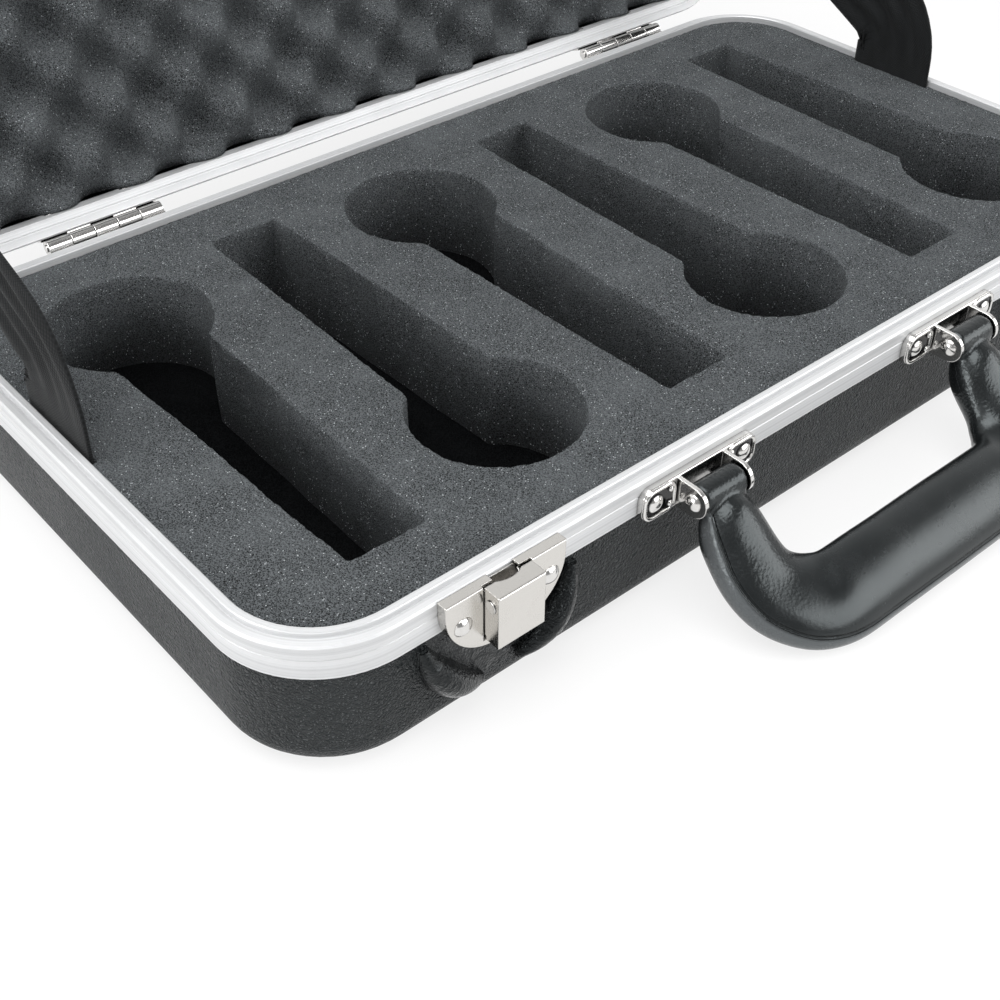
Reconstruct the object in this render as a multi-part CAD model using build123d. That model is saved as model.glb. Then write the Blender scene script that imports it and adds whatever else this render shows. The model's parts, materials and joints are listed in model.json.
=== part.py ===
from build123d import *
from math import cos, radians, sin
import os

# Microphone case: a moulded two-part shell edged with aluminium, shown with its lid open.
# Millimetres. +X runs along the front edge, -Y is the handle side, +Z is up.
# The origin is the centre of the base's flat underside.

# ---- the space inside the edging
cavity_length = 400.0
cavity_width = 212.0
cavity_corner = 28.4

# ---- moulded shells
wall = 3.5
floor_thickness = 3.0
shell_edge_radius = 10.0
foam_top = 48.0            # height of the foam's upper face above the table
lid_depth = 44.0           # from the seam to the lid's outer face

# ---- aluminium edging, heights from the foam's upper face
tongue_height = 2.35
tongue_width = 2.45
tongue_bevel = 0.35
shoulder_height = 1.0
shoulder_gap = 0.4
edging_width = 6.3
edging_drop = 10.6
edging_corner = 0.6
channel_start = 2.4
channel_end = 5.4
channel_roof = 1.0
channel_clearance = 0.1
face_line_drop = 3.9
face_line_size = 0.25
seam_gap = 0.1
tongue_clearance = 0.3
shell_inset = 0.3          # the shell's face sits this far inside the edging's face

# ---- foam
foam_gap = 0.3
slotted_foam_thickness = 36.0
floor_foam_radius = 5.0
slot_count = 6
slot_pitch = 61.4
slot_end_margin = 22.0
head_margin = 48.5
head_radius = 28.0
slot_half_width = 13.3
slot_taper = 0.026         # growth of the half width per millimetre towards the head
slot_corner = 1.2
neck_radius = 2.5
lid_foam_below_seam = 3.0  # the lid foam's face stops this far short of the seam
lid_foam_radius = 5.0

# ---- lid and hinges
lid_open_angle = 110.0
hinge_spread = 130.0       # hinge centre to the middle of the case
hinge_length = 46.0
hinge_leaf = 1.2
hinge_leaf_height = 14.0
hinge_knuckle_radius = 2.6
hinge_pin_radius = 1.3
hinge_axis_out = 3.2       # from the edging's face to the pin's axis
hinge_knuckles = 5
hinge_clearance = 0.3
hinge_rivet_spacing = 30.0
hinge_rivet_drop = 8.6     # rivet below, or above, the seam
pin_fit = 0.05

# ---- rivets
rivet_head_radius = 3.2
rivet_head_height = 1.5
rivet_shank_radius = 1.6
rivet_hole_clearance = 0.1
small_head_radius = 2.5
small_head_height = 1.0

# ---- latches
latch_spread = 138.0       # latch centre to the middle of the case
latch_plate_width = 42.5
latch_plate_height = 22.7
latch_plate_radius = 18.5
latch_plate_depth = 3.7
latch_sheet = 0.8
latch_rivet_spacing = 31.0
latch_rivet_drop = 10.0    # below the seam
latch_seat_sheet = 0.6
latch_window_clearance = 0.3
latch_tab_depth = 2.6
lever_width = 16.6
lever_height = 18.7
lever_front = 9.9          # from the edging's face
lever_back = 3.0
lever_top_back = 3.8
lever_step = 1.4
lever_corner = 0.6
lever_scoop_radius = 8.4
lever_scoop_depth = 1.3
lever_pin_out = 6.5
lever_pin_drop = 5.0
lever_pin_radius = 1.0
lever_pin_head = 0.3
lever_ear = 0.8
lever_ear_radius = 2.4
lever_ear_gap = 0.1
lever_ear_arm = [          # from the pin's axis: up, then outwards; clear of the lever's top
    (2.3, 0.0),
    (1.7, -2.5),
    (-0.4, -3.9),
    (-0.4, -lever_pin_out),
    (-6.0, -lever_pin_out),
    (-2.3, 0.0),
]
catch_sheet = 0.8
catch_half_width = 2.0
catch_drop = 12.3          # underside of the catch below the seam
catch_tip = 0.75
catch_pad_top = 7.6        # below the seam
spring_wire = 0.35         # radius
spring_coil_radius = 1.75
spring_length = 10.0
spring_turns = 7
spring_lever_arm = 3.0
spring_seat_arm = 5.7
spring_lever_angle = -10.0  # where the wire leaves the coil, from straight outwards
spring_seat_angle = -129.4
strike_height = 13.0
strike_depth = 1.8
strike_sheet = 0.9
strike_rivet_rise = 7.0
tongue_half_width = 3.6
strike_tongue_length = 15.1
strike_window_half = 2.3
strike_window_low = 13.7   # below the seam
strike_window_high = 11.2
notch_half_width = 4.7

# ---- protective swellings beside each latch
bumper_centre_drop = 6.0   # below the seam
bumper_reach_x = 27.5
bumper_reach_z = 33.0
bumper_thickness = 5.2
bumper_height = 6.5
bumper_start = 194.0       # degrees round the latch
bumper_end = 256.0
bumper_sections = 6
bumper_end_share = 0.35    # size at the ends against the middle

# ---- handle and its brackets
handle_spread = 61.5       # bracket centre to the middle of the case
bracket_length = 48.0
bracket_height = 11.5
bracket_depth = 2.4
bracket_sheet = 1.2
bracket_corner = 4.0
bracket_drop = 8.4         # bracket's centre line below the seam
bracket_rivet_spacing = 37.7
ear_gap = 17.9
ear_sheet = 1.4
ear_radius = 5.2
handle_pin_out = 9.2       # from the edging's face to the pin's axis
handle_pin_radius = 1.5
handle_pin_head_radius = 3.0
handle_pin_head_height = 1.6
handle_droop = 37.6        # below the horizontal, at rest on the table
handle_end_clearance = 0.3
handle_eye_radius = 5.0
handle_sections = [        # along the centre line: half width, half thickness, sag
    (0.0, 8.3, 4.6, 0.0),
    (7.0, 8.3, 7.2, 2.9),
    (14.0, 10.8, 9.2, 4.6),
    (24.0, 12.2, 8.6, 5.8),
    (36.0, 13.9, 8.1, 5.8),
    (47.0, 14.7, 7.8, 4.2),
    (58.0, 14.4, 7.6, 1.9),
    (75.0, 14.4, 7.6, 1.0),
    (101.0, 14.5, 7.6, 1.0),
]
grip_steps = 28
grip_start = 1.5           # the moulding begins this far behind the pins' axis
handle_seam_turn = 40.0
grip_reach = 46.1          # from the pin's axis to the middle of the grip
grip_corner = 22.4         # bend of the handle's centre line

# ---- fabric stays
stay_thickness = 1.6
stay_base_width = 38.0
stay_base_from_hinge = 98.0
stay_lid_from_hinge = 98.0
stay_tail = 13.0
stay_rise = 23.0           # from the foam's face to where the fabric turns back
stay_bend = 22.0
stay_lid_bend = 19.5
stay_gap = 0.3
stay_rivet_spacing = 22.0
stay_rivet_depth = 6.5     # rivet from the foam's face, inside the edging
stay_washer_radius = 3.4
stay_washer_thickness = 0.5
stay_hole_clearance = 0.35
stay_lid_slack = 12.0      # extra room beside the stay in the lid's foam
slit_height = 2.5          # depth of the narrow slit in the foam above the rivets

# ---- derived places
half_x = cavity_length / 2
half_y = cavity_width / 2
seam = foam_top + shoulder_height
face_y = -(half_y + edging_width)          # the edging's front face
back_y = half_y + edging_width
lid_seam = seam + seam_gap
lid_top = lid_seam + lid_depth
shell_out = edging_width - shell_inset
shell_in = shell_out - wall
hinge_y = back_y + hinge_axis_out
hinge_z = seam + seam_gap / 2
handle_y = face_y - handle_pin_out
handle_z = seam - bracket_drop
foam_floor = foam_top - slotted_foam_thickness

parts = {}


def keep(name, shape):
    parts[name] = shape


def ring(outward, low, high):
    """A rounded block whose sides stand a given distance outside the cavity."""
    outline = RectangleRounded(
        cavity_length + 2 * outward, cavity_width + 2 * outward, cavity_corner + outward
    )
    return Pos(0, 0, low) * extrude(outline, high - low)


def soften(block, low, radius):
    edges = block.edges().filter_by_position(Axis.Z, low - 0.01, low + 0.01)
    return fillet(edges, radius)


def edging(points):
    """Sweep an edging section, given as (outward, height) points, round the cavity."""
    straight_x = cavity_length / 2 - cavity_corner
    straight_y = cavity_width / 2 - cavity_corner
    section = make_face(Polyline(*[(a, z) for a, z in points], close=True))
    moved = Pos(cavity_corner, 0, 0) * section
    solids = []
    for sx, sy, turn in ((1, 1, 0), (-1, 1, 90), (-1, -1, 180), (1, -1, 270)):
        upright = Plane.XZ * moved
        corner = revolve(upright, Axis.Z, 90)
        solids.append(Pos(sx * straight_x, sy * straight_y, 0) * Rot(0, 0, turn) * corner)
    for side in (1, -1):
        along_x = extrude(Plane.YZ * (Pos(half_y, 0, 0) * section), straight_x, both=True)
        along_y = extrude(Plane.XZ * (Pos(half_x, 0, 0) * section), straight_y, both=True)
        turn = 0 if side > 0 else 180
        solids.append(Rot(0, 0, turn) * along_x)
        solids.append(Rot(0, 0, turn) * along_y)
    return solids[0].fuse(*solids[1:]).clean()


def front(x, out, z):
    """A frame on the edging's front face: local x along the case, y up, z outwards."""
    return Plane(origin=(x, face_y - out, z), x_dir=(1, 0, 0), z_dir=(0, -1, 0))


def back(x, out, z):
    return Plane(origin=(x, back_y + out, z), x_dir=(-1, 0, 0), z_dir=(0, 1, 0))


def rivet(place, grip, head_radius=rivet_head_radius, head_height=rivet_head_height):
    """A domed rivet: its head stands on the frame and its shank goes `grip` into it."""
    dome = (head_radius ** 2 + head_height ** 2) / (2 * head_height)
    cap = Pos(0, 0, head_height - dome) * Sphere(dome)
    cap = cap & Pos(0, 0, head_height / 2) * Cylinder(head_radius + 1, head_height)
    shank = Pos(0, 0, -grip / 2) * Cylinder(rivet_shank_radius, grip)
    return place * (cap + shank)


def hole(place, depth, radius):
    return place * Cylinder(radius, 2 * depth)


def group(shapes):
    return Compound(children=[s for shape in shapes for s in shape.solids()])


# ---- shells
def shell(height, wall_top):
    """A tray standing on its outer face, with a rebate for the edging and its bumpers."""
    outer = soften(ring(shell_out, 0, wall_top), 0, shell_edge_radius)
    inside_radius = shell_edge_radius - floor_thickness
    inner = soften(ring(shell_in, floor_thickness, height + wall), floor_thickness, inside_radius)
    rebate_low = height - edging_drop - shoulder_height
    rebate = ring(edging_width, rebate_low, height + wall)
    rebate -= ring(channel_end - channel_clearance, rebate_low, height + wall)
    tray = outer
    for side in (-1, 1):
        for hand in (-1, 1):
            tray += bumper(side * latch_spread, hand, height)
    return tray - inner - rebate


def bumper(x, hand, height):
    """A swollen crescent beside a latch, tapering to its two ends."""
    sections = []
    for step in range(bumper_sections):
        share = step / (bumper_sections - 1)
        angle = radians(bumper_start + share * (bumper_end - bumper_start))
        swell = bumper_end_share + (1 - bumper_end_share) * sin(share * radians(180))
        across = bumper_reach_x * cos(angle)
        rise = bumper_reach_z * sin(angle)
        along = (-bumper_reach_x * sin(angle) * -hand, 0, bumper_reach_z * cos(angle))
        spot = (x - hand * across, -(half_y + shell_out), height - bumper_centre_drop + rise)
        place = Plane(origin=spot, x_dir=(0, -1, 0), z_dir=along)
        sections.append(place * Ellipse(bumper_height * swell, bumper_thickness * swell))
    body = loft(sections)
    keep_out = Pos(x, -(half_y + shell_out - wall / 2) - latch_plate_width, height / 2)
    return body & (keep_out * Box(4 * bumper_reach_x, 2 * latch_plate_width, 2 * height))


# ---- edging sections, as (outward, height) points
def base_edging_section():
    z = foam_top
    groove = tongue_width + face_line_size
    return [
        (0, z - edging_drop),
        (0, z + tongue_height - tongue_bevel),
        (tongue_bevel, z + tongue_height),
        (tongue_width - tongue_bevel, z + tongue_height),
        (tongue_width, z + tongue_height - tongue_bevel),
        (groove, seam - shoulder_gap),
        (groove + shoulder_gap, seam - shoulder_gap),
        (groove + 2 * shoulder_gap, seam),
        (edging_width - edging_corner, seam),
        (edging_width, seam - edging_corner),
        (edging_width, z - face_line_drop + face_line_size),
        (edging_width - face_line_size, z - face_line_drop),
        (edging_width, z - face_line_drop - face_line_size),
        (edging_width, z - edging_drop),
        (channel_end, z - edging_drop),
        (channel_end, z - channel_roof),
        (channel_start, z - channel_roof),
        (channel_start, z - edging_drop),
    ]


def lid_edging_section():
    z = lid_seam
    top = z + shoulder_height + edging_drop
    line = z + shoulder_height + face_line_drop
    roof = z + shoulder_height + channel_roof
    lip = tongue_width + tongue_clearance
    ceiling = foam_top + tongue_height + tongue_clearance
    return [
        (0, top),
        (0, ceiling),
        (lip, ceiling),
        (lip, z),
        (edging_width - edging_corner, z),
        (edging_width, z + edging_corner),
        (edging_width, line - face_line_size),
        (edging_width - face_line_size, line),
        (edging_width, line + face_line_size),
        (edging_width, top),
        (channel_end, top),
        (channel_end, roof),
        (channel_start, roof),
        (channel_start, top),
    ]


# ---- foam
def microphone_slot(index):
    """One cut-out through the slotted foam; heads alternate between back and front."""
    length = cavity_width - slot_end_margin - head_margin
    wide = slot_half_width + slot_taper * length
    body = Polygon(
        (-slot_half_width, 0), (slot_half_width, 0), (wide, length), (-wide, length), align=None
    )
    corners = body.vertices().sort_by(Axis.Y)[:2]
    outline = fillet(corners, slot_corner) + Pos(0, length) * Circle(head_radius)
    necks = [v for v in outline.vertices() if length - head_radius < v.Y < length]
    outline = fillet(necks, neck_radius)
    cutter = extrude(outline, slotted_foam_thickness + seam)
    x = (index - (slot_count - 1) / 2) * slot_pitch
    turn = 0 if index % 2 == 0 else 180
    start = -half_y + slot_end_margin if turn == 0 else half_y - slot_end_margin
    return Pos(x, start, foam_floor - floor_thickness) * Rot(0, 0, turn) * cutter


def stay_relief(depth_from, depth_to, low, high, side, y):
    middle = (depth_from + depth_to) / 2
    thick = depth_to - depth_from
    place = Pos(side * (half_x - middle), y, (low + high) / 2)
    return place * Box(thick, stay_base_width + 2 * stay_gap, high - low)


# ---- hinges, laid out with the lid closed
def knuckle_run(turn):
    pitch = hinge_length / hinge_knuckles
    first = 0 if turn == "base" else 1
    return [(i - (hinge_knuckles - 1) / 2) * pitch for i in range(first, hinge_knuckles, 2)]


def hinge_half(x, turn):
    """One leaf with its knuckles. The base leaf lies below the seam and the lid leaf above."""
    sign = -1 if turn == "base" else 1
    edge = seam - seam_gap if turn == "base" else lid_seam + seam_gap
    pitch = hinge_length / hinge_knuckles
    middle = back(x, hinge_leaf / 2, edge + sign * hinge_leaf_height / 2)
    leaf = middle * Box(hinge_length, hinge_leaf_height, hinge_leaf)
    corners = leaf.edges().filter_by(Axis.Y)
    far = corners.sort_by(Axis.Z)[:2] if turn == "base" else corners.sort_by(Axis.Z)[-2:]
    leaf = fillet(far, hinge_leaf)
    reach = hinge_knuckle_radius + hinge_clearance
    other = knuckle_run("lid" if turn == "base" else "base")
    for offset in other:
        leaf -= back(x + offset, 0, hinge_z) * Box(pitch, 2 * reach, 2 * hinge_leaf + wall)
    knuckles = []
    for offset in knuckle_run(turn):
        width = pitch - hinge_clearance
        barrel = back(x + offset, hinge_axis_out, hinge_z) * Rot(0, 90, 0)
        barrel = barrel * Cylinder(hinge_knuckle_radius, width)
        web_height = hinge_knuckle_radius - abs(edge - hinge_z)
        web_z = edge + sign * web_height / 2
        web = back(x + offset, hinge_axis_out / 2, web_z) * Box(width, web_height, hinge_axis_out)
        knuckles.append(barrel + web)
    for knuckle in knuckles:
        leaf += knuckle
    bore = hinge_pin_radius + (0 if turn == "base" else pin_fit)
    axis = back(x, hinge_axis_out, hinge_z) * Rot(0, 90, 0)
    leaf -= axis * Cylinder(bore, 2 * hinge_length)
    rise = sign * hinge_rivet_drop
    for offset in (-hinge_rivet_spacing / 2, hinge_rivet_spacing / 2):
        leaf -= hole(back(x + offset, 0, edge + rise), hinge_leaf + wall, rivet_shank_radius)
    return leaf


# ---- latches
def shield(width, height, radius, sign):
    """A flat-edged outline with its far corners rounded; sign -1 hangs it below the edge."""
    plate = Pos(0, sign * height / 2) * Rectangle(width, height)
    far = plate.vertices().sort_by(Axis.Y)
    far = far[:2] if sign < 0 else far[-2:]
    return fillet(far, radius)


def pressed_tray(outline, depth, sheet):
    outer = extrude(outline, depth)
    outer = fillet(outer.faces().sort_by(Axis.Z)[-1].edges(), sheet / 2)
    return outer - extrude(offset(outline, -sheet), depth - sheet)


def latch_plate(x):
    outline = shield(latch_plate_width, latch_plate_height, latch_plate_radius, -1)
    tray = pressed_tray(outline, latch_plate_depth, latch_sheet)
    window = lever_width / 2 + latch_window_clearance
    low = -lever_height - latch_window_clearance - latch_sheet
    high = -latch_sheet
    opening = Pos(0, (low + high) / 2, latch_plate_depth) * Box(
        2 * window, high - low, 2 * latch_plate_depth - latch_sheet
    )
    notch = Box(2 * notch_half_width, 4 * latch_sheet, 3 * latch_plate_depth)
    step = Pos(0, 0, latch_tab_depth + latch_plate_depth) * Box(
        2 * window, 4 * latch_sheet, 2 * latch_plate_depth
    )
    tray = tray - opening - notch - step
    for offset_x in (-latch_rivet_spacing / 2, latch_rivet_spacing / 2):
        spot = Pos(offset_x, -latch_rivet_drop + seam_gap, 0)
        tray -= spot * Cylinder(rivet_shank_radius, 4 * latch_plate_depth)
    return front(x, 0, seam - seam_gap) * tray


def latch_seat(x):
    """The flat sheet behind the latch plate, with the two ears that carry the lever's pin."""
    rim = latch_sheet + latch_window_clearance
    outline = offset(shield(latch_plate_width, latch_plate_height, latch_plate_radius, -1), -rim)
    seat = extrude(outline, latch_seat_sheet)
    ear_out = lever_width / 2 - latch_sheet - lever_ear_gap
    for side in (-1, 1):
        middle = side * (ear_out - lever_ear / 2)
        eye = Pos(middle, -lever_pin_drop, lever_pin_out) * Rot(0, 90, 0)
        eye = eye * Cylinder(lever_ear_radius, lever_ear)
        side_view = Plane.YZ * Polygon(*lever_ear_arm, align=None)
        arm = Pos(middle, -lever_pin_drop, lever_pin_out)
        arm = arm * extrude(side_view, lever_ear / 2, both=True)
        seat += eye + arm
    axis = Pos(0, -lever_pin_drop, lever_pin_out) * Rot(0, 90, 0)
    seat -= axis * Cylinder(lever_pin_radius, 2 * lever_width)
    for offset_x in (-latch_rivet_spacing / 2, latch_rivet_spacing / 2):
        spot = Pos(offset_x, -latch_rivet_drop + seam_gap, 0)
        seat -= spot * Cylinder(rivet_shank_radius, 4 * latch_plate_depth)
    return front(x, 0, seam - seam_gap) * seat


def latch_lever(x):
    depth = lever_front - lever_back
    block = Pos(0, -lever_height / 2, lever_back + depth / 2) * Box(lever_width, lever_height, depth)
    face = block.faces().sort_by(Axis.Z)[-1]
    block = fillet(face.edges(), lever_corner)
    hollow = Pos(0, -lever_height / 2 - latch_sheet, lever_back + depth / 2 - latch_sheet)
    hollow = hollow * Box(lever_width - 2 * latch_sheet, lever_height, depth)
    step = Box(2 * lever_width, 2 * lever_step, 2 * lever_top_back)
    foot = Pos(0, -lever_height, lever_back) * Box(2 * lever_width, 2 * lever_step, 2 * lever_step)
    scoop = Pos(0, 0, lever_top_back + lever_scoop_depth - lever_scoop_radius)
    scoop = scoop * Rot(90, 0, 0) * Cylinder(lever_scoop_radius, 3 * latch_sheet)
    axis = Pos(0, -lever_pin_drop, lever_pin_out) * Rot(0, 90, 0)
    bore = axis * Cylinder(lever_pin_radius + pin_fit, 2 * lever_width)
    return front(x, 0, seam - seam_gap) * (block - hollow - step - foot - scoop - bore)


def latch_catch(x):
    """The hooked sheet inside the lever that holds the lid's tongue down."""
    inside = lever_front - latch_sheet
    shelf_length = inside - catch_tip
    shelf = Pos(0, -catch_drop + catch_sheet / 2, catch_tip + shelf_length / 2)
    shelf = shelf * Box(2 * catch_half_width, catch_sheet, shelf_length)
    pad_height = catch_drop - catch_pad_top
    pad = Pos(0, -catch_drop + pad_height / 2, inside - catch_sheet / 2)
    pad = pad * Box(2 * catch_half_width, pad_height, catch_sheet)
    return front(x, 0, seam - seam_gap) * (shelf + pad)


def latch_pin(x):
    axis = front(x, lever_pin_out, seam - seam_gap - lever_pin_drop) * Rot(0, 90, 0)
    reach = lever_width / 2 + pin_fit
    pin = Cylinder(lever_pin_radius, 2 * reach)
    for side in (-1, 1):
        head = Pos(0, 0, side * (reach + lever_pin_head / 2))
        pin += head * Cylinder(lever_pin_radius * 2, lever_pin_head)
    return axis * pin


def latch_spring(x):
    """A torsion spring round the lever's pin: one arm bears on the lever, one on the seat."""
    start = radians(spring_lever_angle)
    place = Plane(
        origin=(x - spring_length / 2, face_y - lever_pin_out, seam - seam_gap - lever_pin_drop),
        x_dir=(0, -cos(start), sin(start)),
        z_dir=(1, 0, 0),
    )
    turns = spring_turns + (spring_lever_angle - spring_seat_angle) / 360
    path = Helix(spring_length / turns, spring_length, spring_coil_radius)
    coil = sweep(Plane(path @ 0, z_dir=path % 0) * Circle(spring_wire), path)
    for end, direction, reach in ((0, -1, spring_lever_arm), (1, 1, spring_seat_arm)):
        arm = Plane(path @ end, z_dir=(path % end) * direction)
        coil += arm * extrude(Circle(spring_wire), reach)
    return place * coil


def latch_strike(x):
    """The lid's half of the latch: a pressed plate with a windowed tongue below it."""
    outline = shield(latch_plate_width, strike_height, strike_height * 3 / 4, 1)
    tray = pressed_tray(outline, strike_depth, strike_sheet)
    tongue = Pos(0, -strike_tongue_length / 2 + strike_sheet, strike_depth - strike_sheet / 2)
    tongue = tongue * Box(
        2 * tongue_half_width, strike_tongue_length + 2 * strike_sheet, strike_sheet
    )
    tips = tongue.edges().filter_by(Axis.Z).sort_by(Axis.Y)[:2]
    tongue = fillet(tips, strike_sheet)
    window_height = strike_window_low - strike_window_high
    window = Pos(0, -strike_window_high - window_height / 2, strike_depth)
    window = window * Box(2 * strike_window_half, window_height, 4 * strike_sheet)
    tray = tray + tongue - window
    for offset_x in (-latch_rivet_spacing / 2, latch_rivet_spacing / 2):
        spot = Pos(offset_x, strike_rivet_rise, 0)
        tray -= spot * Cylinder(rivet_shank_radius, 4 * strike_depth)
    return front(x, 0, lid_seam + seam_gap) * tray


# ---- handle
def handle_bracket(x):
    outline = RectangleRounded(bracket_length, bracket_height, bracket_corner)
    tray = pressed_tray(outline, bracket_depth, bracket_sheet)
    for side in (-1, 1):
        middle = side * (ear_gap + ear_sheet) / 2
        eye = Pos(middle, 0, handle_pin_out) * Rot(0, 90, 0) * Cylinder(ear_radius, ear_sheet)
        base = bracket_depth - bracket_sheet
        arm = Pos(middle, 0, (handle_pin_out + base) / 2)
        arm = arm * Box(ear_sheet, 2 * ear_radius, handle_pin_out - base)
        tray += eye + arm
    axis = Pos(0, 0, handle_pin_out) * Rot(0, 90, 0)
    tray -= axis * Cylinder(handle_pin_radius, 2 * bracket_length)
    for offset_x in (-bracket_rivet_spacing / 2, bracket_rivet_spacing / 2):
        tray -= Pos(offset_x, 0, 0) * Cylinder(rivet_shank_radius, 4 * bracket_depth)
    return front(x, 0, handle_z) * tray


def handle_pin(x):
    axis = front(x, handle_pin_out, handle_z) * Rot(0, 90, 0)
    reach = ear_gap / 2 + ear_sheet
    pin = Cylinder(handle_pin_radius, 2 * reach)
    outward = rivet(Plane.XY, 2 * reach, handle_pin_head_radius, handle_pin_head_height)
    head = outward & Pos(0, 0, handle_pin_head_height / 2) * Box(
        4 * handle_pin_head_radius, 4 * handle_pin_head_radius, handle_pin_head_height
    )
    pin += Pos(0, 0, reach) * head
    pin += Rot(180, 0, 0) * (Pos(0, 0, reach) * head)
    return axis * pin


def handle_plane():
    droop = radians(handle_droop)
    return Plane(
        origin=(0, handle_y, handle_z), x_dir=(1, 0, 0), z_dir=(0, sin(droop), -cos(droop))
    )


def grip_size(distance):
    """Half width, half thickness and sag of the handle along its centre line."""
    for low, high in zip(handle_sections, handle_sections[1:]):
        if distance <= high[0]:
            share = (distance - low[0]) / (high[0] - low[0])
            return [a + share * (b - a) for a, b in zip(low[1:], high[1:])]
    return handle_sections[-1][1:]


def handle_grip():
    """A moulded grip: an oval section that swells from the two pinned ends to the middle."""
    corners = [
        (-handle_spread, -grip_start), (-handle_spread, grip_reach),
        (handle_spread, grip_reach), (handle_spread, -grip_start),
    ]
    path = FilletPolyline(*corners, radius=grip_corner)
    sections = []
    for step in range(grip_steps + 1):
        share = step / grip_steps
        half_width, half_thickness, sag = grip_size(path.length * min(share, 1 - share))
        spot = (path @ share) + Vector(0, 0, sag)
        place = Plane(origin=spot, x_dir=(0, 0, 1), z_dir=path % share)
        sections.append(place * Ellipse(half_thickness, half_width))
    grip = loft(sections)
    end_width = ear_gap - 2 * handle_end_clearance
    for side in (-1, 1):
        eye = Pos(side * handle_spread, 0, 0) * Rot(0, 90, 0) * Rot(0, 0, handle_seam_turn)
        grip += eye * Cylinder(handle_eye_radius, end_width)
        grip -= eye * Cylinder(handle_pin_radius + pin_fit, 2 * end_width)
    return handle_plane() * grip


# ---- fabric stays, in the plane of the case's side walls
def opened(shape):
    about = Pos(0, hinge_y, hinge_z)
    return about * Rot(-lid_open_angle, 0, 0) * about.inverse() * shape


def lid_point(from_hinge, inside):
    angle = radians(lid_open_angle)
    y = hinge_y - from_hinge * cos(angle) + inside * sin(angle)
    z = hinge_z + from_hinge * sin(angle) + inside * cos(angle)
    return y, z


def fabric_stay(side):
    base_y = hinge_y - stay_base_from_hinge
    route = [
        (base_y, foam_top - stay_tail),
        (base_y, foam_top + stay_rise),
        lid_point(stay_lid_from_hinge, 0),
        lid_point(stay_lid_from_hinge, stay_tail),
    ]
    path = Plane.YZ * FilletPolyline(*route, radius=[stay_bend, stay_lid_bend])
    place = Plane(path @ 0, x_dir=(1, 0, 0), z_dir=path % 0)
    band = sweep(place * Rectangle(stay_thickness, stay_base_width), path)
    band = Pos(side * (half_x - stay_gap - stay_thickness / 2), 0, 0) * band
    return band


def side_frame(side, y, z):
    """A frame on the inner face of the edging at one end, pointing into the case."""
    return Plane(origin=(side * half_x, y, z), x_dir=(0, 1, 0), z_dir=(-side, 0, 0))


# ---- assembly
stay_y = hinge_y - stay_base_from_hinge
stay_rivet_z = foam_top - stay_rivet_depth
lid_stay_rivet_z = lid_seam + shoulder_height + stay_rivet_depth
latch_xs = {"left": -latch_spread, "right": latch_spread}
bracket_xs = {"left": -handle_spread, "right": handle_spread}
hinge_xs = {"left": -hinge_spread, "right": hinge_spread}
through = edging_width + shell_inset / 2

latch_rivets, strike_rivets, bracket_rivets = [], [], []
base_hinge_rivets, lid_hinge_rivets, base_stay_rivets, lid_stay_rivets = [], [], [], []
base_washers, lid_washers, hinge_pins, handle_pins, latch_pins = [], [], [], [], []
base_holes, lid_holes = [], []
drill = rivet_shank_radius + rivet_hole_clearance

for hand, x in latch_xs.items():
    keep(f"latch_plate_{hand}", latch_plate(x))
    keep(f"latch_seat_{hand}", latch_seat(x))
    keep(f"latch_lever_{hand}", latch_lever(x))
    keep(f"latch_catch_{hand}", latch_catch(x))
    keep(f"latch_spring_{hand}", latch_spring(x))
    keep(f"latch_strike_{hand}", opened(latch_strike(x)))
    latch_pins.append(latch_pin(x))
    for offset_x in (-latch_rivet_spacing / 2, latch_rivet_spacing / 2):
        spot = x + offset_x
        z = seam - latch_rivet_drop
        lid_z = lid_seam + seam_gap + strike_rivet_rise
        grip = latch_plate_depth + through
        latch_rivets.append(rivet(front(spot, latch_plate_depth, z), grip))
        base_holes.append(hole(front(spot, 0, z), through + wall, drill))
        grip = strike_depth + through
        strike_rivets.append(rivet(front(spot, strike_depth, lid_z), grip))
        lid_holes.append(hole(front(spot, 0, lid_z), through + wall, drill))

for hand, x in bracket_xs.items():
    keep(f"handle_bracket_{hand}", handle_bracket(x))
    handle_pins.append(handle_pin(x))
    for offset_x in (-bracket_rivet_spacing / 2, bracket_rivet_spacing / 2):
        place = front(x + offset_x, bracket_depth, handle_z)
        bracket_rivets.append(rivet(place, bracket_depth + through))
        base_holes.append(hole(front(x + offset_x, 0, handle_z), through + wall, drill))

for hand, x in hinge_xs.items():
    keep(f"hinge_base_leaf_{hand}", hinge_half(x, "base"))
    keep(f"hinge_lid_leaf_{hand}", opened(hinge_half(x, "lid")))
    axis = back(x, hinge_axis_out, hinge_z) * Rot(0, 90, 0)
    hinge_pins.append(axis * Cylinder(hinge_pin_radius, hinge_length + 2 * hinge_clearance))
    for offset_x in (-hinge_rivet_spacing / 2, hinge_rivet_spacing / 2):
        z = seam - seam_gap - hinge_rivet_drop
        lid_z = lid_seam + seam_gap + hinge_rivet_drop
        for height, rivets, holes in (
            (z, base_hinge_rivets, base_holes), (lid_z, lid_hinge_rivets, lid_holes)
        ):
            place = back(x + offset_x, hinge_leaf, height)
            grip = hinge_leaf + through
            rivets.append(rivet(place, grip, small_head_radius, small_head_height))
            holes.append(hole(back(x + offset_x, 0, height), through + wall, drill))

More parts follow.
